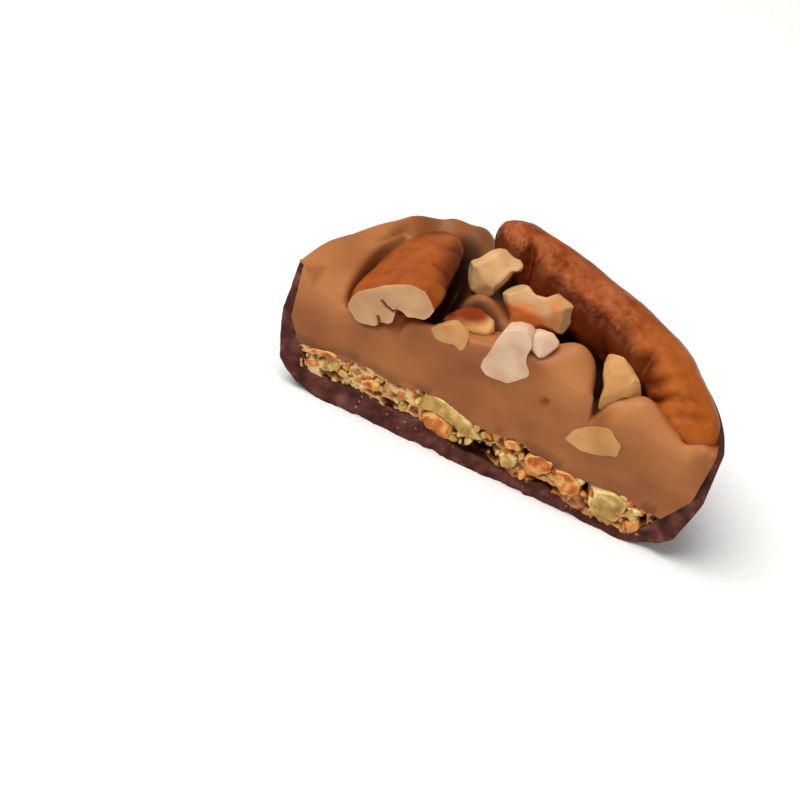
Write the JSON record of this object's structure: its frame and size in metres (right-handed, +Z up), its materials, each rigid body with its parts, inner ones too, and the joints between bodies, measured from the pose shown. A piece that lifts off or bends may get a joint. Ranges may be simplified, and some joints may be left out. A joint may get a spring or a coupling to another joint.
{
  "type": "nut chocolate, cut half",
  "caption": "Half of a round cup-shaped chocolate cut upright, with a dark shell, a nut crunch layer, a milk chocolate filling and whole and chopped nuts on top.",
  "frame": {"origin": "middle of the underside of the half's bounding box", "axes": "+X along the cut face to the right as seen from the cut, +Y from the cut face to the round back, +Z up"},
  "size_m": [0.0444, 0.0194, 0.0192],
  "materials": {
    "dark_chocolate": "dark chocolate, satin outside and broken at the cut",
    "crunch": "pistachio, wafer flakes and candied fruit, rough",
    "milk_chocolate": "milk chocolate filling, smooth cut",
    "pecan": "roasted pecan skin, finely wrinkled",
    "chopped_nut": "chopped hazelnut, matt"
  },
  "bodies": {
    "root": {"shell": "dark_chocolate", "crunch": "crunch", "filling": "milk_chocolate", "pecan_cut": "pecan", "pecan_back": "pecan", "nut_a": "chopped_nut", "nut_b": "chopped_nut", "nut_c": "chopped_nut", "nut_d": "chopped_nut", "nut_e": "chopped_nut", "nut_f": "chopped_nut", "nut_g": "chopped_nut", "nut_h": "chopped_nut"}
  },
  "joints": []
}
